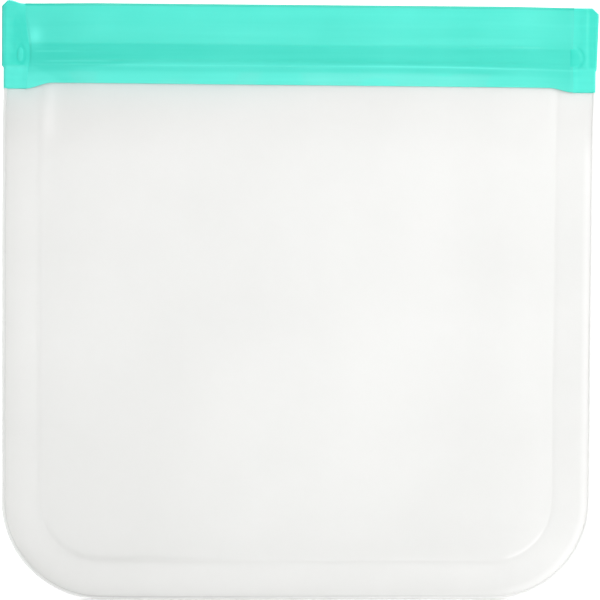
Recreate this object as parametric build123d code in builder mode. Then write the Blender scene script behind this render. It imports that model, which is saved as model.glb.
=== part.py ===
"""A reusable food bag that lies flat: two frosted film walls welded together round a wide border, and
closed along the top by a press-together zip under two translucent coloured bands.

Millimetres. +X is the bag's right, +Y its back and +Z points up at the zip. The origin is at the middle of
the bottom edge, half way between the two sheets of film. The front half is drawn, and the back half is its
mirror image in the XZ plane, except for the zip, whose front track carries ribs and whose back track
carries the grooves that they press into.
"""

import os

from build123d import *

# The pouch, as its two sheets of film are cut
POUCH_WIDTH_BOTTOM = 200.0
POUCH_WIDTH_TOP = 201.0
FILM_TOP = 179.4
CORNER_RADIUS = 34.0
FILM = 0.5

# The welded border, from the outer edge inwards
EDGE_BEAD_WIDTH = 1.4
EDGE_BEAD_THICKNESS = 1.6
EDGE_BEAD_ROUND = 0.5
WELD_LINE_WIDTH = 1.2
WELD_LINE_THICKNESS = 1.5
WELD_LINE_ROUND = 0.3
BORDER_WIDTH = 13.2

# The walls inside the border, which stand apart like two shallow trays
WALL_GAP = 0.3
WALL_START = 0.15
WALL_DEPTH = 3.3
WALL_SLOPE = 12.5
WALL_TOP_SLOPE = 22.0
WALL_TOP_OUT = 1.9

# The coloured band, by height and by distance from the middle plane
BAND_BOTTOM = 175.8
BAND_TOP = 202.4
BAND_THICKNESS = 0.6
BAND_INNER = 1.9
BAND_LEFT = -92.2
BAND_RIGHT = 92.8
LIP_START = 189.4
LIP_TURN = 192.2
LIP_OUT = 2.45

# The zip's two tracks: ribs on the front one, grooves with narrow mouths in the back one
TRACK_BOTTOM = 182.2
TRACK_TOP = 188.4
WEB = 0.7
RIB_PITCH = 2.8
RIB_STEM = 0.8
RIB_HEAD = 1.2
RIB_POINT = 0.5
RIB_HEAD_LENGTH = 0.8
RIB_TIP = 0.75
JAW_REACH = 0.9
OUTER_JAW = 0.7
CHANNEL = 1.7
CHANNEL_MOUTH = 1.4
HOOK_LENGTH = 0.5

# The crushed ends of the bands, and the squashed tips of the tracks inside them
END_GAP = 0.3
END_BOTTOM = 173.4
END_STEP = 181.0
END_STEP_RISE = 0.5
END_LOWER_HALF = 100.9
END_UPPER_HALF = 101.6
END_THICKNESS = 2.4
END_CHAMFER = 2.2
LEFT_PEAK = 1.2
LEFT_STOP_CENTRE = -94.7
LEFT_STOP_WIDTH = 2.4
LEFT_STOP_HEIGHT = 5.2
RIGHT_STOP_START = 93.7
RIGHT_STOP_WIDTH = 4.3
RIGHT_STOP_HEIGHT = 6.2
STOP_THICKNESS = 3.8

# Worked out from the above
BAND_MIDDLE = BAND_INNER + BAND_THICKNESS / 2
BAND_LENGTH = BAND_RIGHT - BAND_LEFT
TRACK_MIDDLE = (TRACK_BOTTOM + TRACK_TOP) / 2
TRACK_HEIGHT = TRACK_TOP - TRACK_BOTTOM
WEB_INNER = BAND_INNER - WEB
RIB_HEIGHTS = (TRACK_MIDDLE - RIB_PITCH / 2, TRACK_MIDDLE + RIB_PITCH / 2)
JAWS_HEIGHT = RIB_PITCH + CHANNEL + 2 * OUTER_JAW
WALL_INSET = BORDER_WIDTH + WALL_GAP
WALL_CUT_SHARE = (WALL_TOP_OUT - WALL_START) / (WALL_DEPTH - WALL_START)
WALL_CUT = 175.0
WALL_START_TOP = WALL_CUT + WALL_TOP_SLOPE * WALL_CUT_SHARE
ZIP_SECTION = Plane.YZ.offset(BAND_LEFT)
FRONT = Plane.XZ


def half_width(height):
    """Half the pouch's width at a height: its sides lean out a little towards the zip."""
    return (POUCH_WIDTH_BOTTOM + (POUCH_WIDTH_TOP - POUCH_WIDTH_BOTTOM) * height / FILM_TOP) / 2


def pouch_outline(inset, top):
    """The pouch's outline with its two round bottom corners, moved in by inset and cut straight at top."""
    bottom_half = half_width(inset) - inset
    top_half = half_width(top) - inset
    with BuildSketch() as outline:
        with BuildLine():
            Polyline((-bottom_half, inset), (bottom_half, inset), (top_half, top), (-top_half, top), close=True)
        make_face()
        fillet(outline.vertices().group_by(Axis.Y)[0], CORNER_RADIUS - inset)
    return outline.sketch


def border_strip(outer_inset, inner_inset, top):
    """A U-shaped strip of the border, between two distances from the pouch's edge."""
    with BuildSketch() as strip:
        add(pouch_outline(outer_inset, top))
        add(pouch_outline(inner_inset, top + inner_inset), mode=Mode.SUBTRACT)
    return strip.sketch


def end_outline(side, inner, peak):
    """A crushed band end from the front. side is -1 at the left and 1 at the right."""
    top = BAND_TOP + peak
    with BuildSketch() as outline:
        with BuildLine():
            Polyline(
                (side * inner, END_BOTTOM),
                (side * END_LOWER_HALF, END_BOTTOM),
                (side * END_LOWER_HALF, END_STEP),
                (side * END_UPPER_HALF, END_STEP + END_STEP_RISE),
                (side * END_UPPER_HALF, top - END_CHAMFER),
                (side * (END_UPPER_HALF - END_CHAMFER), top),
                (side * inner, BAND_TOP),
                close=True,
            )
        make_face()
    return outline.sketch


def left_stop_outline():
    """The left track tip: an upright oval."""
    with BuildSketch() as outline:
        with Locations((LEFT_STOP_CENTRE, TRACK_MIDDLE)):
            Ellipse(LEFT_STOP_WIDTH / 2, LEFT_STOP_HEIGHT / 2)
    return outline.sketch


def right_stop_outline():
    """The right track tip: a D with its flat side towards the zip."""
    low = (RIGHT_STOP_START, TRACK_MIDDLE - RIGHT_STOP_HEIGHT / 2)
    high = (RIGHT_STOP_START, TRACK_MIDDLE + RIGHT_STOP_HEIGHT / 2)
    nose = (RIGHT_STOP_START + RIGHT_STOP_WIDTH, TRACK_MIDDLE)
    with BuildSketch() as outline:
        with BuildLine():
            ThreePointArc(low, nose, high)
            Line(high, low)
        make_face()
    return outline.sketch


def long_edges(strip):
    """The edges that run along a border strip's front and back faces, without those at its two open ends."""
    return strip.faces().filter_by(Axis.Y).edges() - strip.edges().group_by(Axis.Z)[-1]


# ---------------------------------------------------------------- the welded border
with BuildPart() as front_border:
    with BuildSketch(FRONT):
        add(border_strip(EDGE_BEAD_WIDTH, BORDER_WIDTH - WELD_LINE_WIDTH, FILM_TOP))
    extrude(amount=FILM)

with BuildPart() as back_border:
    mirror(front_border.part, about=Plane.XZ)

with BuildPart() as edge_bead:
    with BuildSketch(FRONT):
        add(border_strip(0, EDGE_BEAD_WIDTH, END_BOTTOM))
    extrude(amount=EDGE_BEAD_THICKNESS / 2, both=True)
    fillet(long_edges(edge_bead), EDGE_BEAD_ROUND)

with BuildPart() as weld_line:
    with BuildSketch(FRONT):
        add(border_strip(BORDER_WIDTH - WELD_LINE_WIDTH, BORDER_WIDTH, FILM_TOP))
    extrude(amount=WELD_LINE_THICKNESS / 2, both=True)
    fillet(long_edges(weld_line), WELD_LINE_ROUND)

# ---------------------------------------------------------------- the crushed ends of the zip
with BuildPart() as left_end_weld:
    with BuildSketch(FRONT):
        add(end_outline(-1, END_GAP - BAND_LEFT, LEFT_PEAK))
    extrude(amount=END_THICKNESS / 2, both=True)
    with BuildSketch(FRONT):
        add(border_strip(EDGE_BEAD_WIDTH, BORDER_WIDTH - WELD_LINE_WIDTH, FILM_TOP))
    extrude(amount=FILM, both=True, mode=Mode.SUBTRACT)
    with BuildSketch(FRONT):
        add(left_stop_outline())
    extrude(amount=END_THICKNESS, both=True, mode=Mode.SUBTRACT)

with BuildPart() as right_end_weld:
    with BuildSketch(FRONT):
        add(end_outline(1, BAND_RIGHT + END_GAP, 0))
    extrude(amount=END_THICKNESS / 2, both=True)
    with BuildSketch(FRONT):
        add(border_strip(EDGE_BEAD_WIDTH, BORDER_WIDTH - WELD_LINE_WIDTH, FILM_TOP))
    extrude(amount=FILM, both=True, mode=Mode.SUBTRACT)
    with BuildSketch(FRONT):
        add(right_stop_outline())
    extrude(amount=END_THICKNESS, both=True, mode=Mode.SUBTRACT)

with BuildPart() as left_track_stop:
    with BuildSketch(FRONT):
        add(left_stop_outline())
    extrude(amount=STOP_THICKNESS / 2, both=True)

with BuildPart() as right_track_stop:
    with BuildSketch(FRONT):
        add(right_stop_outline())
    extrude(amount=STOP_THICKNESS / 2, both=True)

# ---------------------------------------------------------------- the two walls of the pouch
# A tray is drawn past its top, cut off level, and carried straight up from there behind the band.
with BuildPart() as front_wall:
    with BuildSketch(FRONT.offset(WALL_START)):
        add(pouch_outline(WALL_INSET, WALL_START_TOP))
    with BuildSketch(FRONT.offset(WALL_DEPTH)):
        add(pouch_outline(WALL_INSET + WALL_SLOPE, WALL_START_TOP - WALL_TOP_SLOPE))
    loft(ruled=True)
    offset(amount=-FILM, openings=front_wall.faces().sort_by(Axis.Y)[-1])
    split(bisect_by=Plane.XY.offset(WALL_CUT), keep=Keep.BOTTOM)
    extrude(front_wall.faces().sort_by(Axis.Z)[-1], amount=FILM_TOP - WALL_CUT)

with BuildPart() as back_wall:
    mirror(front_wall.part, about=Plane.XZ)

# ---------------------------------------------------------------- the two bands over the zip
with BuildPart() as front_band:
    with BuildSketch(ZIP_SECTION):
        with BuildLine() as middle:
            flange = Line((-BAND_MIDDLE, BAND_BOTTOM), (-BAND_MIDDLE, LIP_START))
            turn = TangentArc(flange @ 1, (-LIP_OUT, LIP_TURN), tangent=flange % 1)
            TangentArc(turn @ 1, (-LIP_OUT, BAND_TOP), tangent=turn % 1)
        trace(middle.line, line_width=BAND_THICKNESS)
    extrude(amount=BAND_LENGTH)

with BuildPart() as back_band:
    mirror(front_band.part, about=Plane.XZ)

# ---------------------------------------------------------------- the zip's tracks
with BuildPart() as male_track:
    with BuildSketch(ZIP_SECTION):
        with Locations((-(BAND_INNER + WEB_INNER) / 2, TRACK_MIDDLE)):
            Rectangle(WEB, TRACK_HEIGHT)
        for height in RIB_HEIGHTS:
            with BuildLine():
                Polyline(
                    (-WEB_INNER, height - RIB_STEM / 2),
                    (RIB_TIP - RIB_HEAD_LENGTH, height - RIB_STEM / 2),
                    (RIB_TIP - RIB_HEAD_LENGTH, height - RIB_HEAD / 2),
                    (RIB_TIP, height - RIB_POINT / 2),
                    (RIB_TIP, height + RIB_POINT / 2),
                    (RIB_TIP - RIB_HEAD_LENGTH, height + RIB_HEAD / 2),
                    (RIB_TIP - RIB_HEAD_LENGTH, height + RIB_STEM / 2),
                    (-WEB_INNER, height + RIB_STEM / 2),
                    close=True,
                )
            make_face()
    extrude(amount=BAND_LENGTH)

with BuildPart() as female_track:
    with BuildSketch(ZIP_SECTION):
        with Locations(((BAND_INNER + WEB_INNER) / 2, TRACK_MIDDLE)):
            Rectangle(WEB, TRACK_HEIGHT)
        with Locations(((WEB_INNER - JAW_REACH) / 2, TRACK_MIDDLE)):
            Rectangle(WEB_INNER + JAW_REACH, JAWS_HEIGHT)
        for height in RIB_HEIGHTS:
            with Locations(((WEB_INNER - JAW_REACH + HOOK_LENGTH) / 2, height)):
                Rectangle(WEB_INNER + JAW_REACH - HOOK_LENGTH, CHANNEL, mode=Mode.SUBTRACT)
            with Locations((-JAW_REACH + HOOK_LENGTH / 2, height)):
                Rectangle(HOOK_LENGTH, CHANNEL_MOUTH, mode=Mode.SUBTRACT)
    extrude(amount=BAND_LENGTH)

# ---------------------------------------------------------------- labels and files
os.makedirs("parts", exist_ok=True)

front_border.part.label = "front_border"
export_step(front_border.part, "parts/front_border.step")
back_border.part.label = "back_border"
export_step(back_border.part, "parts/back_border.step")
edge_bead.part.label = "edge_bead"
export_step(edge_bead.part, "parts/edge_bead.step")
weld_line.part.label = "weld_line"
export_step(weld_line.part, "parts/weld_line.step")
left_end_weld.part.label = "left_end_weld"
export_step(left_end_weld.part, "parts/left_end_weld.step")
right_end_weld.part.label = "right_end_weld"
export_step(right_end_weld.part, "parts/right_end_weld.step")
left_track_stop.part.label = "left_track_stop"
export_step(left_track_stop.part, "parts/left_track_stop.step")
right_track_stop.part.label = "right_track_stop"
export_step(right_track_stop.part, "parts/right_track_stop.step")
front_wall.part.label = "front_wall"
export_step(front_wall.part, "parts/front_wall.step")
back_wall.part.label = "back_wall"
export_step(back_wall.part, "parts/back_wall.step")
front_band.part.label = "front_band"
export_step(front_band.part, "parts/front_band.step")
back_band.part.label = "back_band"
export_step(back_band.part, "parts/back_band.step")
male_track.part.label = "male_track"
export_step(male_track.part, "parts/male_track.step")
female_track.part.label = "female_track"
export_step(female_track.part, "parts/female_track.step")
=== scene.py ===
"""The looks of the reusable zip bag: frosted film walls, welds, and an aqua zip band with crushed ends.

The bag's pieces are worked out in millimetres and turned into metres when a mesh is made, and the floor,
lights and camera are placed in metres. +X is the bag's right, -Y its front and +Z up. "Depth" is a
surface's distance from the bag's middle plane, so that the front pieces lie at y = -depth and the back
pieces at y = +depth.
"""

import math

import bpy
import numpy as np
from mathutils import Matrix, Vector, noise


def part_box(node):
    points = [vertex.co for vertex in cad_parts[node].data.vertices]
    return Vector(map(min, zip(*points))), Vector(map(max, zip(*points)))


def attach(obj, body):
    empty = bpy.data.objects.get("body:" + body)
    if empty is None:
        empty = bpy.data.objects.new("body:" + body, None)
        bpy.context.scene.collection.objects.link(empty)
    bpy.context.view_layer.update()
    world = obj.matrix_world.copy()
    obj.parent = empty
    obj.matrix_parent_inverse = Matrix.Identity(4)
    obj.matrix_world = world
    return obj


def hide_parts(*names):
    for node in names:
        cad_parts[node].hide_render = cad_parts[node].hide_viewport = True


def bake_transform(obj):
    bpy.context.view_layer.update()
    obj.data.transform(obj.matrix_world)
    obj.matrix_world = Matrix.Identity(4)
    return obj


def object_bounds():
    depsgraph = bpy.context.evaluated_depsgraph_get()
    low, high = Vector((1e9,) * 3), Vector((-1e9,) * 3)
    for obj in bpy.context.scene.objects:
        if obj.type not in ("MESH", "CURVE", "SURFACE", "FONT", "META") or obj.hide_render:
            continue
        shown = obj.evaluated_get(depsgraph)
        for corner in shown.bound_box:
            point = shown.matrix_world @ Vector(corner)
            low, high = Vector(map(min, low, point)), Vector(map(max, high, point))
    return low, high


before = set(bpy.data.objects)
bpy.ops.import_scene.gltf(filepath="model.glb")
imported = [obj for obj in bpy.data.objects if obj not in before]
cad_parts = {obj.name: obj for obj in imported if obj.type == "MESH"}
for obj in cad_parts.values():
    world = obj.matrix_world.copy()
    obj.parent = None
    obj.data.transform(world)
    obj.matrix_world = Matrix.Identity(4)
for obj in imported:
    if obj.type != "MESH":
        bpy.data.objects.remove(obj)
cad_low, cad_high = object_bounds()

MM = 0.001
X, Y, Z = range(3)


# ---------------------------------------------------------------- sizes that come from the frame
def lowest(node, axis):
    """Where a CAD node begins along an axis, in millimetres."""
    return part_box(node)[0][axis] / MM


def highest(node, axis):
    """Where a CAD node ends along an axis, in millimetres."""
    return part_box(node)[1][axis] / MM


FILM_TOP = highest("front_wall", Z)
BAND_BOTTOM = lowest("front_band", Z)
BAND_TOP = highest("front_band", Z)
BAND_LEFT = lowest("front_band", X)
BAND_RIGHT = highest("front_band", X)
TRACK_BOTTOM = lowest("male_track", Z)
TRACK_TOP = highest("male_track", Z)
TRACK_MIDDLE = (TRACK_BOTTOM + TRACK_TOP) / 2
END_BOTTOM = lowest("left_end_weld", Z)
END_HALF = highest("right_end_weld", X)
LEFT_END_TOP = highest("left_end_weld", Z)
END_DEPTH = highest("left_end_weld", Y)
BEAD_DEPTH = highest("edge_bead", Y)
WELD_DEPTH = highest("weld_line", Y)
FILM = highest("front_border", Y) - lowest("front_border", Y)

# ---------------------------------------------------------------- sizes of the film
HALF_BOTTOM = 100.5  # half the pouch's width at its bottom
HALF_TOP = 101.0  # and at its top
CORNER = 34.0  # the bottom corners' radius
BEAD_WIDTH = 1.4
WELD_START = 12.0  # the weld line's outer and inner edges, measured in from the outline
WELD_END = 13.2
SHEET = FILM - 0.05  # one sheet's thickness
SHEET_GAP = 0.02  # from the middle plane to each sheet, where the two lie together
SHOULDER_RISE = 0.5  # the sharp first rise of a wall from the weld
SHOULDER_WIDTH = 2.6
TRAY_RISE = 1.35  # the gentle rise of a wall towards its middle
TRAY_WIDTH = CORNER - WELD_END
TRAY_ROUNDNESS = 1.8
DENT_DEPTH = 0.9  # the dent in each wall under the zip's left
FOLD_HEIGHT = 1.2  # the broad waves that the whole bag lies in
FOLD_LENGTH = 140.0
FOLD_MIDDLE = 25.0
FOLD_SLANT = 0.25
FOLD_LEVEL = 100.0
FADE_LENGTH = 70.0  # the waves die away over this much below the zip
NECK_DEPTH = 1.8  # how deep the walls may be where they go under the bands
NECK_START = FILM_TOP - 29.4
NECK_END = FILM_TOP - 5.4
INNER_RING = 26.0

# how many steps the border's points take down a side, round a corner and along the bottom, and where
# their rings lie: closest together over the weld line
SIDE_STEPS = 44
ARC_STEPS = 20
BASE_STEPS = 36
RING_INSETS = (0.5, 1.4, 2.6, 4.2, 6.2, 8.4, 10.4, 11.6, 12.2, 12.7, 13.2, 13.7, 14.2, 14.8, 15.6, 16.8,
               18.4, 20.6, 23.2, INNER_RING)

TUBE_SIDES = 14  # points round the bead and the weld line
SQUARENESS = 0.8  # 1 makes their section an ellipse, and less makes it squarer

# ---------------------------------------------------------------- sizes of the band and its ends
LIP_THICKNESS = 0.6
FLANGE_THICKNESS = 0.4
FLANGE_DEPTH = 2.2
LIP_CROWN = TRACK_TOP + 7.6  # above this the lips lean back towards each other
RIDGE_HEIGHT = TRACK_BOTTOM - 0.4  # the thin ridge under the zip, and its drop towards the right
RIDGE_DROP = 0.9
ZIP_TILT = 0.4
BAND_SKEW = 0.28  # how far from parallel the band's lower edge is cut, from its middle to an end
DIP_START = BAND_RIGHT - 8.3  # where the band's lower edge starts to dip to the crushed ends
DIP_LENGTH = 8.5
WEB_OUT = 1.88  # the outer and inner faces of the zip halves' webs
WEB_IN = 1.2
RIB_SPACING = 2.8
EDGE_TURNS = (math.pi / 4, math.pi / 2, 3 * math.pi / 4)  # where the points of a rounded edge lie

SEAM_DEPTH = END_DEPTH - 0.1  # the depth that the bands are pinched to where they meet the crushed ends
CRUSHED_DEEPER = 0.34  # how much deeper the colour of the crushed ends is
LEFT_SLOPE = 26.0  # how far from each end the band starts to be pinched
RIGHT_SLOPE = 22.0
LEFT_STEP = 0.3  # the last of the pinch at the left is a step this short
LEFT_LINE = 1.4 - BAND_LEFT  # how far out each crushed end starts, and how much that line bows
RIGHT_LINE = BAND_RIGHT + 0.2
LEFT_BOW = 1.6
RIGHT_BOW = 0.3
END_WIDTH = 9.0  # roughly a crushed end's size, for its rounded rim and for how it blends into the band
END_HEIGHT = 29.0
END_STEP = TRACK_BOTTOM - 1.2  # the step on both crushed ends, under the zip
END_CHAMFER = 2.2
RIM_RADIUS = 0.7
RIM_DEPTH = 0.25  # the depth that a crushed end comes down to at its very rim
LEFT_NOTCH = 0.6  # how far the outer edge of each end steps in below the zip
RIGHT_NOTCH = 0.35
RIGHT_TAPER = 0.035

STOP_BASE = 1.0  # the depth that the stops' sides start from
MOAT_ACROSS = 0.3  # the low ring round each stop is this much wider and higher than the stop
MOAT_UP = 0.4
LEFT_STOP = np.array([6.5 - END_HALF, TRACK_MIDDLE - 0.4])
LEFT_STOP_ACROSS = 1.2
LEFT_STOP_UP = 2.6
RIGHT_STOP = np.array([END_HALF - 8.2, TRACK_MIDDLE])
RIGHT_STOP_FLAT = END_HALF - 10.1
RIGHT_STOP_NOSE = END_HALF - 5.7
RIGHT_STOP_UP = 3.5

# ---------------------------------------------------------------- how the bag stands
LEAN = 0.6  # how far the bag's foot is to the left of its zip
FILM_SHIFT = 0.28  # how far the film is to the left of the zip


def smooth(t):
    """0 below 0, 1 above 1, and an S-curve between them."""
    t = np.clip(t, 0, 1)
    return t * t * (3 - 2 * t)


def rise(value, start, width):
    """0 up to start, 1 from start + width on, and an S-curve between them."""
    return smooth((value - start) / width)


def fall(value, start, width):
    """1 up to start, 0 from start + width on, and an S-curve between them."""
    return 1 - rise(value, start, width)


def bump(x, middle, width):
    """A smooth hump, 1 at its middle and near 0 beyond twice its width."""
    return np.exp(-(((x - middle) / width) ** 2))


def half_width(z):
    """Half the pouch's width at height z."""
    return HALF_BOTTOM + (HALF_TOP - HALF_BOTTOM) * z / FILM_TOP


def inset_of(x, z):
    """How far a point is inside the pouch's outline, whose two bottom corners are round."""
    across = np.abs(x) - (half_width(z) - CORNER)
    down = CORNER - z
    outside = np.hypot(np.maximum(across, 0), np.maximum(down, 0))
    return CORNER - outside - np.minimum(np.maximum(across, down), 0)


def waves(x, z, length, seed):
    """Gentle random undulation between about -1 and 1, with features about length wide."""
    points = np.stack([np.ravel(x) / length, np.ravel(z) / length, np.full(np.size(x), seed)], 1)
    values = [noise.noise(Vector(p)) for p in points]
    return np.array(values).reshape(np.shape(x))


def sway(x, z):
    """How far the whole bag's middle plane wanders from flat: film never lies quite flat, the zip does."""
    loose = fall(z, BAND_BOTTOM - FADE_LENGTH, FADE_LENGTH)
    near_edge = fall(inset_of(x, z), 0, 60)
    along_fold = x - FOLD_MIDDLE - FOLD_SLANT * (z - FOLD_LEVEL)
    fold = FOLD_HEIGHT * np.sin(2 * math.pi * along_fold / FOLD_LENGTH)
    return loose * (fold + 0.5 * waves(x, z, 80, 3.7) + 0.6 * near_edge * waves(x, z, 42, 9.1))


# ---------------------------------------------------------------- making meshes
def make_piece(name, points, faces, material, marks):
    """A mesh object from points in millimetres, after the bag's sway and lean are added.

    marks holds, by name, the numbers that its points carry for its material, which clamps them to 0 to 1.
    """
    points = np.array(points, float)
    points[:, 1] += sway(points[:, 0], points[:, 2])
    points[:, 0] -= LEAN * np.clip(1 - points[:, 2] / END_BOTTOM, 0, 1)
    points[:, 0] -= FILM_SHIFT * fall(points[:, 2], END_BOTTOM - 10, 10)
    mesh = bpy.data.meshes.new(name)
    mesh.from_pydata((points * MM).tolist(), [], [tuple(int(i) for i in f) for f in faces])
    mesh.validate()
    mesh.update()
    mesh.polygons.foreach_set("use_smooth", [True] * len(mesh.polygons))
    mesh.set_sharp_from_angle(angle=math.radians(50))
    mesh.materials.append(material)
    for mark, values in marks.items():
        mesh.attributes.new(mark, "FLOAT", "POINT").data.foreach_set("value", np.array(values, np.float32))
    piece = bpy.data.objects.new(name, mesh)
    bpy.context.scene.collection.objects.link(piece)
    return piece


def grid_faces(rows, columns, first=0):
    """The quads of a grid of rows by columns points, numbered row by row."""
    faces = []
    for r in range(rows - 1):
        for c in range(columns - 1):
            a = first + r * columns + c
            faces.append((a, a + 1, a + columns + 1, a + columns))
    return faces


def shell(outer, inner, faces):
    """Points and faces of a closed shell between two surfaces that share one set of faces."""
    count = len(outer)
    points = np.concatenate([outer, inner])
    both = list(faces) + [tuple(i + count for i in reversed(f)) for f in faces]
    edges = set()
    for f in faces:
        edges.update(zip(f, f[1:] + f[:1]))
    rim = [(b, a, a + count, b + count) for a, b in edges if (b, a) not in edges]
    return points, both + sorted(rim)


def tube(rings):
    """Points and faces of a closed body swept through rings of points, with flat ends."""
    rings = np.array(rings)
    stations, around, _ = rings.shape
    faces = []
    for s in range(stations - 1):
        for k in range(around):
            a, b = s * around + k, s * around + (k + 1) % around
            faces.append((a, a + around, b + around, b))
    faces.append(tuple(range(around)))
    faces.append(tuple(reversed(range((stations - 1) * around, stations * around))))
    return rings.reshape(-1, 3), faces


def facing_out(points, faces):
    """The faces turned so that a closed body's volume is positive."""
    points = np.array(points)
    volume = 0
    for f in faces:
        for k in range(1, len(f) - 1):
            volume += np.dot(points[f[0]], np.cross(points[f[k]], points[f[k + 1]]))
    return faces if volume > 0 else [tuple(reversed(f)) for f in faces]


def add_closed(name, points, faces, material, **marks):
    """A piece whose mesh is closed, with its faces turned outwards."""
    return make_piece(name, points, facing_out(points, faces), material, marks)


# ---------------------------------------------------------------- the film
def border_path(inset, top):
    """Points (x, z) from the top left down the side, along the bottom and up to the top right."""
    corner_x = half_width(CORNER) - CORNER
    radius = CORNER - inset
    left = [(inset - half_width(z), z) for z in np.linspace(top, CORNER, SIDE_STEPS + 1)]
    turns = np.linspace(0, math.pi / 2, ARC_STEPS + 1)[1:]
    arc = [(-corner_x - radius * math.cos(a), CORNER - radius * math.sin(a)) for a in turns]
    base = [(x, inset) for x in np.linspace(-corner_x, corner_x, BASE_STEPS + 1)[1:-1]]
    half = left + arc
    return half + base + [(-x, z) for x, z in reversed(half)]


def fill_inside(ring):
    """A grid of points (x, z) that fills the open ring: down its left, along its bottom, up its right."""
    down = SIDE_STEPS + ARC_STEPS // 2
    ring = np.array(ring)
    left = ring[: down + 1]
    bottom = ring[down : len(ring) - down]
    right = ring[::-1][: down + 1]
    top = np.linspace(left[0], right[0], len(bottom))
    v = np.linspace(0, 1, down + 1)[:, None, None]
    u = np.linspace(0, 1, len(bottom))[None, :, None]
    along = (1 - v) * top[None] + v * bottom[None]
    across = (1 - u) * left[:, None] + u * right[:, None]
    corners = (1 - v) * ((1 - u) * left[0] + u * right[0]) + v * ((1 - u) * left[-1] + u * right[-1])
    return along + across - corners


def film_layout():
    """The film's points (x, z) and faces: rings along its border, and a grid inside them."""
    rings = [border_path(inset, FILM_TOP) for inset in RING_INSETS]
    around = len(rings[0])
    points = [p for ring in rings for p in ring]
    faces = grid_faces(len(rings), around)
    inside = fill_inside(rings[-1])
    rows, columns, _ = inside.shape
    down = rows - 1
    first_of_last = (len(rings) - 1) * around
    numbers = np.zeros((rows, columns), int)
    for r in range(rows):
        for c in range(columns):
            if c == 0:
                numbers[r, c] = first_of_last + r
            elif c == columns - 1:
                numbers[r, c] = first_of_last + around - 1 - r
            elif r == rows - 1:
                numbers[r, c] = first_of_last + down + c
            else:
                numbers[r, c] = len(points)
                points.append(tuple(inside[r, c]))
    for r in range(rows - 1):
        for c in range(columns - 1):
            faces.append((numbers[r, c], numbers[r + 1, c], numbers[r + 1, c + 1], numbers[r, c + 1]))
    return np.array(points, float), [tuple(int(i) for i in f) for f in faces]


def shoulder_share(x, z):
    """How sharply the wall rises from the weld: most at the bottom's left, and hardly at all at the sides."""
    at_bottom = fall(z, 16, 14) * rise(x, -94, 14)
    along_bottom = 0.15 + 0.9 * fall(x, -65, 60)
    up_sides = 0.07 * fall(z, 105, 40)
    return at_bottom * along_bottom + (1 - at_bottom) * up_sides


def film_tone(x, z):
    """How light the film is, from 0 to 1, with 0.5 as its plain lightness: painted shade and painted
    highlights stand in for how the lamps fall on it.
    """
    inset = inset_of(x, z)
    foot = fall(z, 14, 10)  # 1 along the bottom
    off_left = rise(x, -85, 30)  # 1 except at the left

    # painted shade: at the left edge, under the band, along the bottom edge and in the weld's fold at the
    # bottom
    painted_left_shade = 0.38 * np.exp(-inset / 5) * fall(x, -95, 25)
    painted_shade_under_band = (0.1 + 0.08 * fall(x, -70, 50)) * rise(z, 148, 18)
    painted_bottom_edge_shade = (0.15 - 0.0016 * x) * bump(inset, 0, 3.0) * foot
    painted_fold_shade = 0.2 * bump(inset, WELD_END + 1.0, 1.4) * foot * rise(x, -79, 6) * fall(x, -60, 45)
    painted_shade = painted_left_shade + painted_shade_under_band + painted_bottom_edge_shade + painted_fold_shade

    # painted light: highlights along the right edge, a streak at the left under the band, the bottom border,
    # the bottom right corner's arc, the low wall and the middle
    painted_right_edge_highlight = 0.45 * bump(inset, 2.0, 1.0) * rise(x, 60, 20) * fall(z, 150, 12)
    painted_streak_highlight = 0.36 * bump(x, -85.2, 2.2) * rise(z, 154, 8)
    painted_border_light = 0.12 * fall(inset, 11, 8) * foot * off_left
    painted_corner_highlight = 0.45 * bump(inset, WELD_END + 0.5, 0.5) * rise(x, 70, 4) * fall(z, 21, 5)
    painted_low_wall_light = 0.03 * bump(z, 24, 12) * off_left
    middle = 0.06 * bump(x, 3, 45) * bump(z, 108, 40)
    painted_light = painted_right_edge_highlight + painted_streak_highlight + painted_border_light + painted_corner_highlight + painted_low_wall_light + middle
    return np.clip(0.5 - painted_shade + painted_light, 0, 1)


def film_bleed(x, z):
    """How much painted aqua light, standing in for the band's colour cast into the film just below it, the
    film carries: more at the left.
    """
    below = np.maximum(band_lower_edge(x) - z, 0)
    left = fall(x, -40, 60)
    close = (0.25 + 0.2 * left) * np.exp(-below / 1.5)
    wide = 0.3 * left * np.exp(-((below / 7) ** 2))
    return close + wide


def film_depth(x, z, seed):
    """The depth of a film wall's outer surface."""
    inset = inset_of(x, z)
    below_top = FILM_TOP - z
    welded = SHEET_GAP + SHEET
    shoulder = SHOULDER_RISE * shoulder_share(x, z) * rise(inset, WELD_END - 0.6, SHOULDER_WIDTH)
    from_flat = 1 - np.clip((inset - WELD_END) / TRAY_WIDTH, 0, 1)
    tray = TRAY_RISE * (1 - from_flat**TRAY_ROUNDNESS)
    ripple = 0.32 * waves(x, z, 55, seed) + 0.12 * waves(x, z, 23, seed + 5)
    puckers = 0
    for side in (-1, 1):
        puckers = puckers + 0.16 * bump(x, side * (85 - 0.06 * below_top), 1.7 + 0.05 * below_top)
    dent = DENT_DEPTH * bump(x, -66, 22) * bump(z, 148, 13)
    depth = welded + shoulder + tray + rise(inset, WELD_END, 14) * ripple
    depth = depth + rise(inset, WELD_END, 2) * (puckers * rise(z, 140, 30) - dent)
    depth = np.maximum(depth, welded)  # where the dent is deepest, the two sheets lie on each other
    neck = rise(z, NECK_START, NECK_END - NECK_START)
    return depth + neck * (np.minimum(depth, NECK_DEPTH) - depth)


def film_sheet(name, side, seed, material):
    """One sheet of film: side is -1 for the front and 1 for the back."""
    layout, faces = film_layout()
    x, z = layout[:, 0], layout[:, 1]
    depth = film_depth(x, z, seed)
    outer = np.stack([x, side * depth, z], 1)
    inner = np.stack([x, side * (depth - SHEET), z], 1)
    points, faces = shell(outer, inner, faces)
    # the points carry painted light and shade, and painted aqua light from the band, for the material
    return add_closed(name, points, faces, material, tone=np.tile(film_tone(x, z), 2),
                      bleed=np.tile(film_bleed(x, z), 2))


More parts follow.
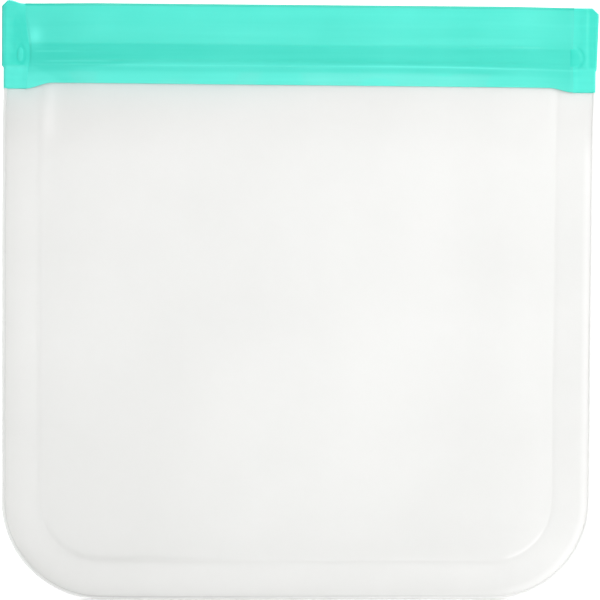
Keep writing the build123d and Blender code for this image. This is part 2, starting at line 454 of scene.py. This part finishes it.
def border_tube(name, inset, top, width, depth, material, seed, tone, painted_shade_amount):
    """A rounded strip along the border, such as the outer bead or the weld line.

    Its last two arguments are how light it is, and how much painted shade darkens its inner side at the bag's
    left and how much painted light lightens all of it at the bag's right. Its floor side gets painted light
    too.
    """
    path = np.array(border_path(inset, top))
    along = np.gradient(path, axis=0)
    along /= np.linalg.norm(along, axis=1)[:, None]
    inwards = np.stack([-along[:, 1], along[:, 0]], 1)
    uneven = 1 + 0.04 * waves(path[:, 0], path[:, 1], 14, seed)
    painted_shade_shares = painted_shade_amount * np.clip(0.3 - 1.6 * path[:, 0] / HALF_TOP, -1.3, 1)
    rings, tones = [], []
    for (x, z), (in_x, in_z), thicker, painted_shade_share in zip(path, inwards, uneven, painted_shade_shares):
        ring = []
        # painted light on the outer side of the bottom, which the floor shades
        floor_side_painted_light = 0.4 * fall(z, 1, 2)
        for k in range(TUBE_SIDES):
            angle = 2 * math.pi * k / TUBE_SIDES
            c, s = math.cos(angle), math.sin(angle)
            inward = math.copysign(abs(c) ** SQUARENESS, c) * width / 2
            deep = math.copysign(abs(s) ** SQUARENESS, s) * depth * thicker
            ring.append((x + in_x * inward, deep, z + in_z * inward))
            # painted shade on the inner side where the share is positive, at the left, and painted light all
            # round where it is negative, at the right
            inner_side = rise(c, -0.3, 0.8) if painted_shade_share > 0 else 1
            tones.append(tone - 0.5 * painted_shade_share * inner_side + floor_side_painted_light * rise(-c, 0, 0.6))
        rings.append(ring)
    points, faces = tube(rings)
    return add_closed(name, points, faces, material, tone=tones)


# ---------------------------------------------------------------- the band and its ends
def band_depth(x, z):
    """The depth of the band's outer face, before its ends are pinched."""
    ridge = 0.2 * bump(z, ridge_line(x), 0.36)
    over_zip = 0.3 * rise(z, TRACK_BOTTOM + 0.6, 0.9) * fall(z, TRACK_TOP - 0.3, 0.9)
    ribs = 0.05 * (bump(z, TRACK_MIDDLE + 1.0, 0.28) + bump(z, TRACK_MIDDLE - 2.4, 0.28))
    ribs = ribs * (0.25 + fall(x, -75, 20))
    lip = 0.85 * rise(z, TRACK_TOP + 0.2, 7.0) - 0.4 * rise(z, LIP_CROWN, 7.0)
    pillow = 0.3 * bump(x, BAND_LEFT + 1.6, 2.0) * bump(z, TRACK_TOP + 2.2, 3.2)
    return FLANGE_DEPTH + ridge + over_zip + ribs + lip + pillow


def ridge_line(x):
    """The height of the thin ridge under the zip, which runs lower towards the right."""
    return RIDGE_HEIGHT - RIDGE_DROP * rise(x, 35, 70)


def zip_rise(x):
    """How far the zip lies above its middle's height: it isn't drawn quite parallel to the band's edges."""
    return -ZIP_TILT * x / BAND_RIGHT


def band_deepness(x, z):
    """How deep the band's colour is, from 0 to 1: deepest over the zip and at the cut upper edge, with
    painted shade under the ridge and in a slanting band at the left end of the flange, and painted highlights
    on the ridge, the ribs, a glint and the right seam.
    """
    height = z - zip_rise(x)
    ridge_height = ridge_line(x)
    softer = rise(x, 20, 50)  # the zip's upper edge is less sharp towards the right
    lip = rise(height, TRACK_TOP - 1.1 - 0.4 * softer, 2 + 0.5 * softer)
    zip_bottom = TRACK_BOTTOM - 0.2 - 1.9 * fall(x, -75, 25) + ridge_height - RIDGE_HEIGHT
    over_zip = rise(height, zip_bottom, 1.2) * (1 - lip)
    flange = (1 - over_zip) * (1 - lip)

    cut_edge = 0.8 * rise(z, BAND_TOP - 0.7, 0.3)
    flange_top = 0.15 * rise(z, BAND_BOTTOM + 3.4, 3.0) * flange
    # painted shade in a line under the ridge and above a slanting line at the left end of the flange
    painted_shade_under_ridge = 0.25 * bump(z, ridge_height - 1.5, 0.9) * flange * (1 - 0.6 * rise(x, 60, 20))
    crease_line = END_STEP + 0.7 - 0.55 * (x - BAND_LEFT + 0.3)
    painted_diagonal_shade = 0.14 * rise(z, crease_line, 1.2) * fall(x, -84, 14) * flange
    right = rise(x, 30, 55) * (0.06 + 0.1 * flange) + 0.11 * rise(x, 74, 14) * (1 - over_zip)
    deeper = 0.4 * over_zip + 0.2 * lip + flange_top + painted_diagonal_shade + painted_shade_under_ridge + right + cut_edge

    # painted highlights: along the ridge, on the ribs seen through the strip, a glint by the left end, and
    # painted light that lifts the shade by the right seam
    ridge = (0.1 + 0.3 * rise(x, -5, 45) * (1 - 0.8 * rise(x, 62, 18))) * bump(z, ridge_height, 0.24)
    painted_upper_rib_highlight = 0.22 * bump(z, TRACK_MIDDLE + 0.9, 0.24) * fall(x, -82, 8) * rise(x, -91, 2)
    painted_lower_rib_highlight = 0.22 * bump(z, TRACK_MIDDLE - 2.4, 0.24) * fall(x, -70, 8) * rise(x, -88, 4)
    painted_glint = 0.45 * bump(x, BAND_LEFT + 1.9, 2.4) * bump(z, TRACK_TOP + 3.0, 3.0)
    seam = 0.12 * rise(x, BAND_RIGHT - 1.6, 1.6)
    painted_highlights = ridge + painted_upper_rib_highlight + painted_lower_rib_highlight + painted_glint + seam
    return np.clip(0.24 + deeper - painted_highlights, 0, 1)


def pinched(x, z):
    """0 along the band and 1 at its crushed ends: both slope gently, and the left one ends in a low step."""
    from_end = abs(end_line(math.copysign(1, x), z)) - 0.2 - abs(x)
    if x > 0:
        return fall(from_end, 0, RIGHT_SLOPE)
    step = 0.14 * bump(z, TRACK_TOP, 6.5)
    return (1 - step) * fall(from_end, 0, LEFT_SLOPE) + step * fall(from_end, 0, LEFT_STEP)


def band_lower_edge(x):
    """The height of the band's lower edge: not quite parallel to the upper one, and lower at its ends."""
    straight = BAND_BOTTOM - 0.3 - BAND_SKEW * (x / BAND_RIGHT + 1)
    return straight - (straight - END_BOTTOM) * rise(np.abs(x), DIP_START, DIP_LENGTH)


def end_line(side, z):
    """Where the band meets its crushed end, which bows towards the zip's middle."""
    line, bow = (RIGHT_LINE, RIGHT_BOW) if side > 0 else (LEFT_LINE, LEFT_BOW)
    return side * (line - bow * bump(z, TRACK_MIDDLE, 9))


def band_stations():
    """Positions along the band from -1 to 1, closer together near its ends."""
    t = np.linspace(-1, 1, 121)
    return np.sign(t) * (1 - (1 - np.abs(t)) ** 1.5)


def place_along(t, z, gap=0.004):
    """The x of station t, from -1 to 1, at height z: the last stations lie a gap short of the end lines."""
    side = -1 if t < 0 else 1
    end = end_line(side, z) - side * gap
    return t * BAND_RIGHT + (end - side * BAND_RIGHT) * abs(t) ** 12


def band_heights():
    """The heights of a band's points: its flange, the stretch over the zip, its lip and its cut edge."""
    return np.concatenate([
        np.linspace(BAND_BOTTOM + 0.15, TRACK_BOTTOM - 1.6, 9),
        np.linspace(TRACK_BOTTOM - 1.4, TRACK_TOP + 1.2, 44),
        np.linspace(TRACK_TOP + 1.8, BAND_TOP - 0.5, 20),
        np.linspace(BAND_TOP - 0.4, BAND_TOP - 0.2, 3),
    ])


def band_strip(name, side, seed, material):
    """A band from one crushed end to the other, with rounded edges."""
    rings, deep = [], []
    for t in band_stations():
        low = band_lower_edge(t * BAND_RIGHT) - BAND_BOTTOM
        outside, inside, colour = [], [], []
        for z in band_heights():
            height = z + low * np.clip((END_STEP - z) / (END_STEP - BAND_BOTTOM), 0, 1)
            x = place_along(t, height)
            share = pinched(x, height)
            wall = FLANGE_THICKNESS + (LIP_THICKNESS - FLANGE_THICKNESS) * rise(z, TRACK_BOTTOM, 2)
            depth = band_depth(x, z) + (SEAM_DEPTH - band_depth(x, z)) * share
            depth += 0.05 * noise.noise(Vector((x / 17, z / 7, seed))) * (1 - share)
            outside.append((x, side * depth, height))
            inside.append((x, side * (depth - wall * (1 - 0.3 * share)), height))
            colour.append(band_deepness(x, z))
        rings.append(rounded_ring(outside, inside))
        deep.append(colour + [colour[-1]] * len(EDGE_TURNS) + colour[::-1] + [colour[0]] * len(EDGE_TURNS))
    points, faces = tube(rings)
    return add_closed(name, points, faces, material, deep=np.ravel(deep))


def rounded_ring(outside, inside):
    """A closed ring round a thin strip's section, with its bottom and top edges rounded."""
    ring = [np.array(p) for p in outside]
    ring += edge_round(outside[-1], inside[-1], 1)
    ring += [np.array(p) for p in reversed(inside)]
    ring += edge_round(inside[0], outside[0], -1)
    return ring


def edge_round(start, end, up):
    """Points of a flattened half circle between two edges of a strip."""
    start, end = np.array(start), np.array(end)
    middle, reach = (start + end) / 2, (end - start) / 2
    lift = np.array([0, 0, up * 0.7 * np.linalg.norm(reach)])
    return [middle - reach * math.cos(a) + lift * math.sin(a) for a in EDGE_TURNS]


def track(name, section, material):
    """Half of the zip, with its CAD section, squeezed flat where the bands are crushed."""
    rings = []
    for t in band_stations():
        ring = []
        for y, z in section:
            x = place_along(t * 0.997, z)
            squeeze = 1 - 0.6 * pinched(x, z)
            ring.append((x, y * squeeze, z + zip_rise(x)))
        rings.append(ring)
    points, faces = tube(rings)
    return add_closed(name, points, faces, material, deep=np.full(len(points), 0.7))


def male_section():
    """The ribbed half: a web with two arrow-headed ribs. y runs from the web towards the back."""
    half_rib = [(-WEB_IN, 0.55), (0.2 - WEB_IN, 0.4), (-0.15, 0.4), (-0.05, 0.6), (0.15, 0.57), (0.62, 0.32),
                (0.74, 0.15)]
    section = [(-WEB_OUT, TRACK_BOTTOM), (-WEB_IN, TRACK_BOTTOM)]
    for z in (TRACK_MIDDLE - RIB_SPACING / 2, TRACK_MIDDLE + RIB_SPACING / 2):
        section += [(y, z - off) for y, off in half_rib]
        section += [(y, z + off) for y, off in reversed(half_rib)]
    return section + [(-WEB_IN, TRACK_TOP), (-WEB_OUT, TRACK_TOP)]


def female_section():
    """The grooved half: a web with three jaws that hook round the ribs."""
    half_jaws = [(WEB_IN, 2.95), (-0.75, 2.95), (-0.9, 2.8), (-0.9, 2.2), (-0.4, 2.1), (-0.35, 2.25),
                 (WEB_IN, 2.25), (WEB_IN, 0.55), (-0.35, 0.55), (-0.4, 0.7), (-0.9, 0.6)]
    section = [(WEB_OUT, TRACK_TOP), (WEB_IN, TRACK_TOP)]
    section += [(y, TRACK_MIDDLE + off) for y, off in half_jaws]
    section += [(y, TRACK_MIDDLE - off) for y, off in reversed(half_jaws)]
    return section + [(WEB_IN, TRACK_BOTTOM), (WEB_OUT, TRACK_BOTTOM)]


def left_relief(x, z):
    """The left crushed end's face: its depth, and how deep its colour is, with painted shade over the
    recessed pad and in the moat round the stop.
    """
    from_edge = END_HALF + x
    pad = rise(from_edge, 0.6, 4.0) * rise(z, END_STEP, 2.4) * fall(z, LEFT_END_TOP - 7.2, 4.0)
    ramp = 0.24 - 0.16 * rise(from_edge, 3.0, 5.6)
    oval = np.hypot((x - LEFT_STOP[0]) / (LEFT_STOP_ACROSS + MOAT_ACROSS),
                    (z - LEFT_STOP[1]) / (LEFT_STOP_UP + MOAT_UP))
    moat = bump(oval, 1.0, 0.25)
    step_line = END_STEP + 0.6 - 0.5 * np.maximum(from_edge - 7.6, 0)
    flange = fall(z, step_line - 0.9, 0.9)
    crush = 0.05 * waves(x, z, 2.1, 4.4) + 0.07 * waves(x, z, 6.5, 1.4)
    bevel = 0.25 * fall(from_edge, 0.2, 1.6)
    depth = SEAM_DEPTH + 0.1 - ramp * pad - 0.06 * moat - 0.22 * flange - bevel + crush
    return depth, 0.44 + 0.1 * pad + 0.1 * moat - 0.22 * flange


def right_relief(x, z):
    """The right crushed end's face: its depth, and how deep its colour is, with painted shade over the pad at
    the edge and in the moat round the stop, and a painted highlight along the bar.
    """
    from_edge = END_HALF - x
    upper = rise(z, END_STEP + 0.2, 1.2)
    bar = bump(from_edge, 5.2, 1.1) * upper * fall(z, LIP_CROWN + 1.5, 4)
    pad = fall(from_edge, 3.0, 1.6) * upper
    tip = np.hypot((x - RIGHT_STOP_FLAT) / (RIGHT_STOP_NOSE - RIGHT_STOP_FLAT + MOAT_ACROSS),
                   (z - RIGHT_STOP[1]) / (RIGHT_STOP_UP + MOAT_UP))
    moat = bump(tip, 1.0, 0.13)
    crush = 0.04 * waves(x, z, 2.4, 8.4) + 0.06 * waves(x, z, 7.5, 6.4)
    depth = SEAM_DEPTH + 0.06 * bar - 0.14 * pad - 0.1 * moat - 0.12 * (1 - upper) + crush
    return depth, 0.6 + 0.04 * pad + 0.16 * moat - 0.04 * bar - 0.18 * (1 - upper)


def end_top(side, x):
    """The upper edge of a crushed end: the left one rises to a small peak, and both are chamfered."""
    out = np.abs(x)
    peak = (LEFT_END_TOP - BAND_TOP) if side < 0 else 0.0
    top = BAND_TOP + peak * rise(out, END_HALF - 8.1, 5.5)
    return top - np.maximum(out - (END_HALF - END_CHAMFER), 0) * 0.95


def end_outer(side, z):
    """The outer edge of a crushed end: it steps in below the zip, and the right one slopes in as well."""
    below_step = fall(z, END_STEP - 0.4, 0.9)
    if side < 0:
        return END_HALF - LEFT_NOTCH * below_step
    return END_HALF - RIGHT_TAPER * np.clip(LIP_CROWN + 2 - z, 0, 17) - RIGHT_NOTCH * below_step


def end_weld(name, side, relief, material):
    """One crushed end: a thin plate with rounded rims and the die's marks on both faces."""
    rows, columns = 110, 42
    colour_blend = 0.4 if side < 0 else 4.0  # how far the band's own colour reaches into the end
    front = np.zeros((rows, columns, 3))
    back = np.zeros((rows, columns, 3))
    deep = np.zeros((rows, columns))
    for r, t in enumerate(np.linspace(0, 1, rows)):
        for c, u in enumerate(np.linspace(0, 1, columns)):
            nominal = side * (BAND_RIGHT + u * (END_HALF - BAND_RIGHT))
            z = END_BOTTOM + t * (end_top(side, nominal) - END_BOTTOM)
            inner = end_line(side, z)
            x = inner + u * (side * end_outer(side, z) - inner)
            to_rim = min((1 - u) * END_WIDTH, t * END_HEIGHT, (1 - t) * END_HEIGHT)
            rim = math.sqrt(1 - (1 - min(to_rim / RIM_RADIUS, 1)) ** 2)
            depth, colour = relief(x, z)
            depth = SEAM_DEPTH + (depth - SEAM_DEPTH) * rise(u * END_WIDTH, 0, 2.2)
            depth = RIM_DEPTH + (depth - RIM_DEPTH) * rim
            # beside the band, an end takes on the band's colour with its painted shade and highlights
            beside = band_deepness(x, z)
            own = rise(u * END_WIDTH, 0, colour_blend)
            deep[r, c] = beside + (colour - beside) * own + 0.4 * fall(to_rim, 0, 0.3) + CRUSHED_DEEPER
            front[r, c] = (x, -depth, z)
            back[r, c] = (x, depth, z)
    points, faces = shell(front.reshape(-1, 3), back.reshape(-1, 3), grid_faces(rows, columns))
    deep = np.clip(deep, 0, 1).ravel()
    return add_closed(name, points, faces, material, deep=np.concatenate([deep, deep]))


def stop_pad(name, outline, middle, depth, deepness, material):
    """A squashed track tip: a low crowned pad on both faces of its crushed end."""
    shares = (1.0, 0.97, 0.9, 0.78, 0.6, 0.4, 0.2)
    outline = np.array(outline)
    count = len(outline)
    front, faces = [], []
    for share in shares:
        crown = STOP_BASE + (depth - STOP_BASE) * (1 - share**4)
        for x, z in middle + (outline - middle) * share:
            front.append((x, -crown, z))
    front.append((middle[0], -depth, middle[1]))
    for ring in range(len(shares) - 1):
        for k in range(count):
            a, b = ring * count + k, ring * count + (k + 1) % count
            faces.append((a, b, b + count, a + count))
    last = (len(shares) - 1) * count
    faces += [(last + k, last + (k + 1) % count, len(front) - 1) for k in range(count)]
    front = np.array(front)
    back = front * np.array([1, -1, 1])
    points, faces = shell(front, back, faces)
    return add_closed(name, points, faces, material, deep=np.full(len(points), deepness))


def oval_outline(middle, across, up):
    """An oval's points, from half its width and half its height."""
    turns = np.linspace(0, 2 * math.pi, 33)[:-1]
    return [(middle[0] + across * math.cos(a), middle[1] + up * math.sin(a)) for a in turns]


def d_outline(flat, nose, middle, half_height):
    """A D with its flat side at x = flat and its nose at x = nose."""
    turns = np.linspace(-math.pi / 2, math.pi / 2, 25)
    reach = nose - flat
    curve = [(flat + reach * math.cos(a) ** 0.9, middle + half_height * math.sin(a)) for a in turns[1:-1]]
    side = [(flat, z) for z in np.linspace(middle + half_height, middle - half_height, 12)]
    return curve + side


# ---------------------------------------------------------------- materials
# The dim and light film and weld colours are shaded and lit copies that painted light and shade mix between,
# and the tinted film colour is the film in painted aqua light from the band.
DIM_FILM = (0.7, 0.7, 0.685)
LIGHT_FILM = (0.91, 0.91, 0.9)
FILM_IN_PAINTED_BAND_LIGHT = (0.62, 0.77, 0.755)
DIM_WELD = (0.6, 0.605, 0.595)
LIGHT_WELD = (0.97, 0.975, 0.965)
LIGHT_AQUA = (0.135, 0.87, 0.75)
DEEP_AQUA = (0.015, 0.58, 0.45)
CRUSHED_LIGHT_AQUA = (0.145, 0.85, 0.74)
CRUSHED_DEEP_AQUA = (0.025, 0.6, 0.475)
FLOOR_GREY = (0.93, 0.93, 0.93)
PLASTIC_IOR = 1.42


def new_material(name):
    """A new material and its shader."""
    material = bpy.data.materials.new(name)
    material.use_nodes = True
    return material, material.node_tree.nodes["Principled BSDF"]


def feed(material, socket, value):
    """Links an input to another node's output, or sets it to a value."""
    if isinstance(value, bpy.types.NodeSocket):
        material.node_tree.links.new(value, socket)
    else:
        socket.default_value = value


def add_node(material, kind, inputs):
    """A new node with its inputs fed by name."""
    node = material.node_tree.nodes.new("ShaderNode" + kind)
    for name, value in inputs.items():
        feed(material, node.inputs[name], value)
    return node


def object_place(material):
    """Where a point is on the object."""
    return add_node(material, "TexCoord", {}).outputs["Object"]


def noise_value(material, place, scale, detail=2):
    """A noise texture's value, from 0 to 1."""
    return add_node(material, "TexNoise", {"Scale": scale, "Detail": detail, "Vector": place}).outputs["Fac"]


def ranged(material, value, low, high, from_low=0.0, from_high=1.0):
    """A value moved from one range to another."""
    inputs = {"Value": value, "From Min": from_low, "From Max": from_high, "To Min": low, "To Max": high}
    return add_node(material, "MapRange", inputs).outputs["Result"]


def point_value(material, mark):
    """The number that a mesh's points carry under the name of a mark."""
    node = add_node(material, "Attribute", {})
    node.attribute_name = mark
    return node.outputs["Fac"]


def added(material, first, second, clamp):
    """Two values added up, and clamped to 0 to 1 where that is asked for."""
    node = add_node(material, "Math", {})
    node.operation = "ADD"
    node.use_clamp = clamp
    feed(material, node.inputs[0], first)
    feed(material, node.inputs[1], second)
    return node.outputs["Value"]


def mixed_colour(material, share, first, second):
    """A colour between two others, of which the first may be another node's output."""
    node = add_node(material, "Mix", {})
    node.data_type = "RGBA"
    feed(material, node.inputs["Factor"], share)
    feed(material, node.inputs["A"], (*first, 1) if isinstance(first, tuple) else first)
    feed(material, node.inputs["B"], (*second, 1))
    return node.outputs["Result"]


def relief_normal(material, height, strength, distance):
    """A surface's normal, tilted by a relief."""
    inputs = {"Height": height, "Strength": strength, "Distance": distance}
    return add_node(material, "Bump", inputs).outputs["Normal"]


def film_material():
    """Frosted film: pale, matt and a little see-through, with faint clouding and a fine matt grain, and
    painted light and shade and painted aqua light from the band in its colour.
    """
    material, shader = new_material("frosted_film")
    place = object_place(material)
    cloud = noise_value(material, place, 14, 3)
    grain = noise_value(material, place, 1500)
    clouding = ranged(material, cloud, -0.1, 0.1, 0.3, 0.7)
    # the film's colour mixes random clouding with the painted light and shade that its points carry
    clouding_and_painted_light = added(material, clouding, point_value(material, "tone"), True)
    white = mixed_colour(material, clouding_and_painted_light, DIM_FILM, LIGHT_FILM)
    # painted aqua light from the band, just below the band
    with_painted_band_light = mixed_colour(material, point_value(material, "bleed"), white, FILM_IN_PAINTED_BAND_LIGHT)
    feed(material, shader.inputs["Base Color"], with_painted_band_light)
    feed(material, shader.inputs["Roughness"], ranged(material, cloud, 0.42, 0.56))
    feed(material, shader.inputs["Normal"], relief_normal(material, grain, 0.12, 0.0002))
    shader.inputs["Alpha"].default_value = 0.55
    shader.inputs["IOR"].default_value = PLASTIC_IOR
    return material


def weld_material(name, alpha):
    """Film that a hot die has pressed: clearer and shinier than the frosted film."""
    material, shader = new_material(name)
    flow = noise_value(material, object_place(material), 260)
    # its colour runs from dim to light with the painted light and shade that its points carry
    colour = mixed_colour(material, point_value(material, "tone"), DIM_WELD, LIGHT_WELD)
    feed(material, shader.inputs["Base Color"], colour)
    feed(material, shader.inputs["Roughness"], ranged(material, flow, 0.22, 0.36))
    feed(material, shader.inputs["Normal"], relief_normal(material, flow, 0.2, 0.0003))
    shader.inputs["Alpha"].default_value = alpha
    shader.inputs["IOR"].default_value = PLASTIC_IOR
    return material


def band_material(name, alpha, thin_colour, thick_colour):
    """Translucent aqua plastic, satin, with faint lengthwise lines from the die that drew it."""
    material, shader = new_material(name)
    place = object_place(material)
    stretched = add_node(material, "Mapping", {"Vector": place, "Scale": (12, 60, 420)}).outputs["Vector"]
    lines = noise_value(material, stretched, 1, 3)
    cloud = noise_value(material, place, 45)
    uneven = ranged(material, added(material, lines, cloud, False), -0.12, 0.12, 0.5, 1.5)
    # the points' deepness carries painted shade and painted highlights besides the plastic's own thickness
    deepness = added(material, uneven, point_value(material, "deep"), True)
    colour = mixed_colour(material, deepness, thin_colour, thick_colour)
    feed(material, shader.inputs["Base Color"], colour)
    feed(material, shader.inputs["Roughness"], ranged(material, lines, 0.24, 0.4))
    feed(material, shader.inputs["Normal"], relief_normal(material, lines, 0.15, 0.0003))
    shader.inputs["Alpha"].default_value = alpha
    shader.inputs["IOR"].default_value = PLASTIC_IOR
    return material


def floor_material():
    """A plain pale matt floor."""
    material, shader = new_material("pale_floor")
    shader.inputs["Base Color"].default_value = (*FLOOR_GREY, 1)
    shader.inputs["Roughness"].default_value = 0.9
    shader.inputs["Specular IOR Level"].default_value = 0.1
    return material


# ---------------------------------------------------------------- stage, lights and camera
BAG_MIDDLE = (0, 0, 0.1)
BAG_FOOT = (0, 0, 0.03)
WALL_FOOT = (0, 1.5, 0.3)


def add_floor():
    """A pale floor that curves up into a pale wall well behind the bag."""
    reach, flat_end, bend, wall_top = 6.0, 1.2, 0.6, 3.0
    low = cad_low.z
    profile = [(-reach, low), (flat_end, low)]
    for a in np.linspace(0, math.pi / 2, 13)[1:]:
        profile.append((flat_end + bend * math.sin(a), low + bend * (1 - math.cos(a))))
    profile.append((flat_end + bend, wall_top))
    corners = [(x, y, z) for y, z in profile for x in (-reach, reach)]
    mesh = bpy.data.meshes.new("floor")
    mesh.from_pydata(corners, [], grid_faces(len(profile), 2))
    mesh.polygons.foreach_set("use_smooth", [True] * len(mesh.polygons))
    mesh.materials.append(floor_material())
    floor = bpy.data.objects.new("floor", mesh)
    bpy.context.scene.collection.objects.link(floor)


def add_light(name, place, towards, size, power):
    """A square soft light that faces a point, with places and its size in metres and its power in watts."""
    data = bpy.data.lights.new(name, "AREA")
    data.size = size
    data.energy = power
    light = bpy.data.objects.new(name, data)
    bpy.context.scene.collection.objects.link(light)
    light.location = place
    aim = Vector(towards) - Vector(place)
    light.rotation_euler = aim.to_track_quat("-Z", "Y").to_euler()


def add_world(strength):
    """Even white light from all round."""
    world = bpy.data.worlds.new("studio")
    world.use_nodes = True
    background = world.node_tree.nodes["Background"]
    background.inputs["Color"].default_value = (1, 1, 1, 1)
    background.inputs["Strength"].default_value = strength
    bpy.context.scene.world = world


def add_camera():
    """Almost square on to the bag's front, a little to its left and a little above."""
    distance = 0.65
    shown_width = cad_high.x - cad_low.x + 0.0014
    azimuth, elevation, roll = math.radians(-1.4), math.radians(0.6), math.radians(0.3)
    target = (cad_low + cad_high) / 2 + Vector((0, 0, 0.0005))
    data = bpy.data.cameras.new("camera")
    data.sensor_width = 36
    data.lens = data.sensor_width * distance / shown_width
    camera = bpy.data.objects.new("camera", data)
    bpy.context.scene.collection.objects.link(camera)
    level = math.cos(elevation)
    away = Vector((math.sin(azimuth) * level, -math.cos(azimuth) * level, math.sin(elevation)))
    camera.location = target + away * distance
    turn = (-away).to_track_quat("-Z", "Y").to_matrix() @ Matrix.Rotation(roll, 3, "Z")
    camera.rotation_euler = turn.to_euler()
    bpy.context.scene.camera = camera


# ---------------------------------------------------------------- placing the pieces, with the welds riding on the seam body
def follow(piece):
    """The piece's placement, baked into its mesh; it is not attached to any body."""
    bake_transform(piece)


def add_bag():
    """Every visible piece of the bag."""
    film = film_material()
    cut_edge = weld_material("cut_edge", 0.52)
    pressed_line = weld_material("pressed_line", 0.22)
    strip = band_material("aqua_strip", 0.75, LIGHT_AQUA, DEEP_AQUA)
    crushed = band_material("aqua_crushed", 0.93, CRUSHED_LIGHT_AQUA, CRUSHED_DEEP_AQUA)
    zip_plastic = band_material("aqua_zip", 0.8, LIGHT_AQUA, DEEP_AQUA)

    front_film = film_sheet("front_film", -1, 21.5, film)
    back_film = film_sheet("back_film", 1, 47.2, film)
    bead = border_tube("edge_bead_strip", BEAD_WIDTH / 2, END_BOTTOM + 0.5, BEAD_WIDTH, BEAD_DEPTH, cut_edge,
                       seed=2.2, tone=0.57, painted_shade_amount=0.65)
    line = border_tube("weld_line_strip", (WELD_START + WELD_END) / 2, FILM_TOP, WELD_END - WELD_START,
                       WELD_DEPTH * 0.4, pressed_line, seed=6.6, tone=0.85, painted_shade_amount=0.2)
    front_band = band_strip("front_zip_band", -1, 12.0, strip)
    back_band = band_strip("back_zip_band", 1, 33.0, strip)
    male = track("ribbed_track", male_section(), zip_plastic)
    female = track("grooved_track", female_section(), zip_plastic)
    left_end = end_weld("left_crushed_end", -1, left_relief, crushed)
    right_end = end_weld("right_crushed_end", 1, right_relief, crushed)
    oval = oval_outline(LEFT_STOP, LEFT_STOP_ACROSS, LEFT_STOP_UP)
    left_stop = stop_pad("left_zip_stop", oval, LEFT_STOP, 1.18, 0.74, crushed)
    d_shape = d_outline(RIGHT_STOP_FLAT, RIGHT_STOP_NOSE, RIGHT_STOP[1], RIGHT_STOP_UP)
    right_stop = stop_pad("right_zip_stop", d_shape, RIGHT_STOP, 1.22, 1.0, crushed)

    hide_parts("front_wall", "front_border")
    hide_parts("back_wall", "back_border")
    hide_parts("edge_bead")
    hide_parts("weld_line")
    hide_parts("front_band")
    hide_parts("back_band")
    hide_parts("male_track")
    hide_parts("female_track")
    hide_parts("left_end_weld")
    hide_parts("right_end_weld")
    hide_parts("left_track_stop")
    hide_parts("right_track_stop")

    for piece in (front_film, front_band, male):
        follow(piece)
    for piece in (back_film, back_band, female):
        follow(piece)
    for piece in (bead, line, left_end, right_end, left_stop, right_stop):
        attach(piece, "seam")


bpy.context.scene.view_settings.view_transform = "Standard"
add_camera()
add_floor()
add_world(0.57)
add_light("key", (1.6, -1.7, 1.9), towards=BAG_MIDDLE, size=1.8, power=42)
add_light("right", (0.62, -0.6, 0.3), towards=BAG_MIDDLE, size=0.35, power=1.6)
add_light("low", (0.3, -1.5, 0.25), towards=BAG_FOOT, size=0.7, power=1.3)
add_light("backdrop", (0, 0.5, 1.8), towards=WALL_FOOT, size=1.6, power=24)
add_bag()
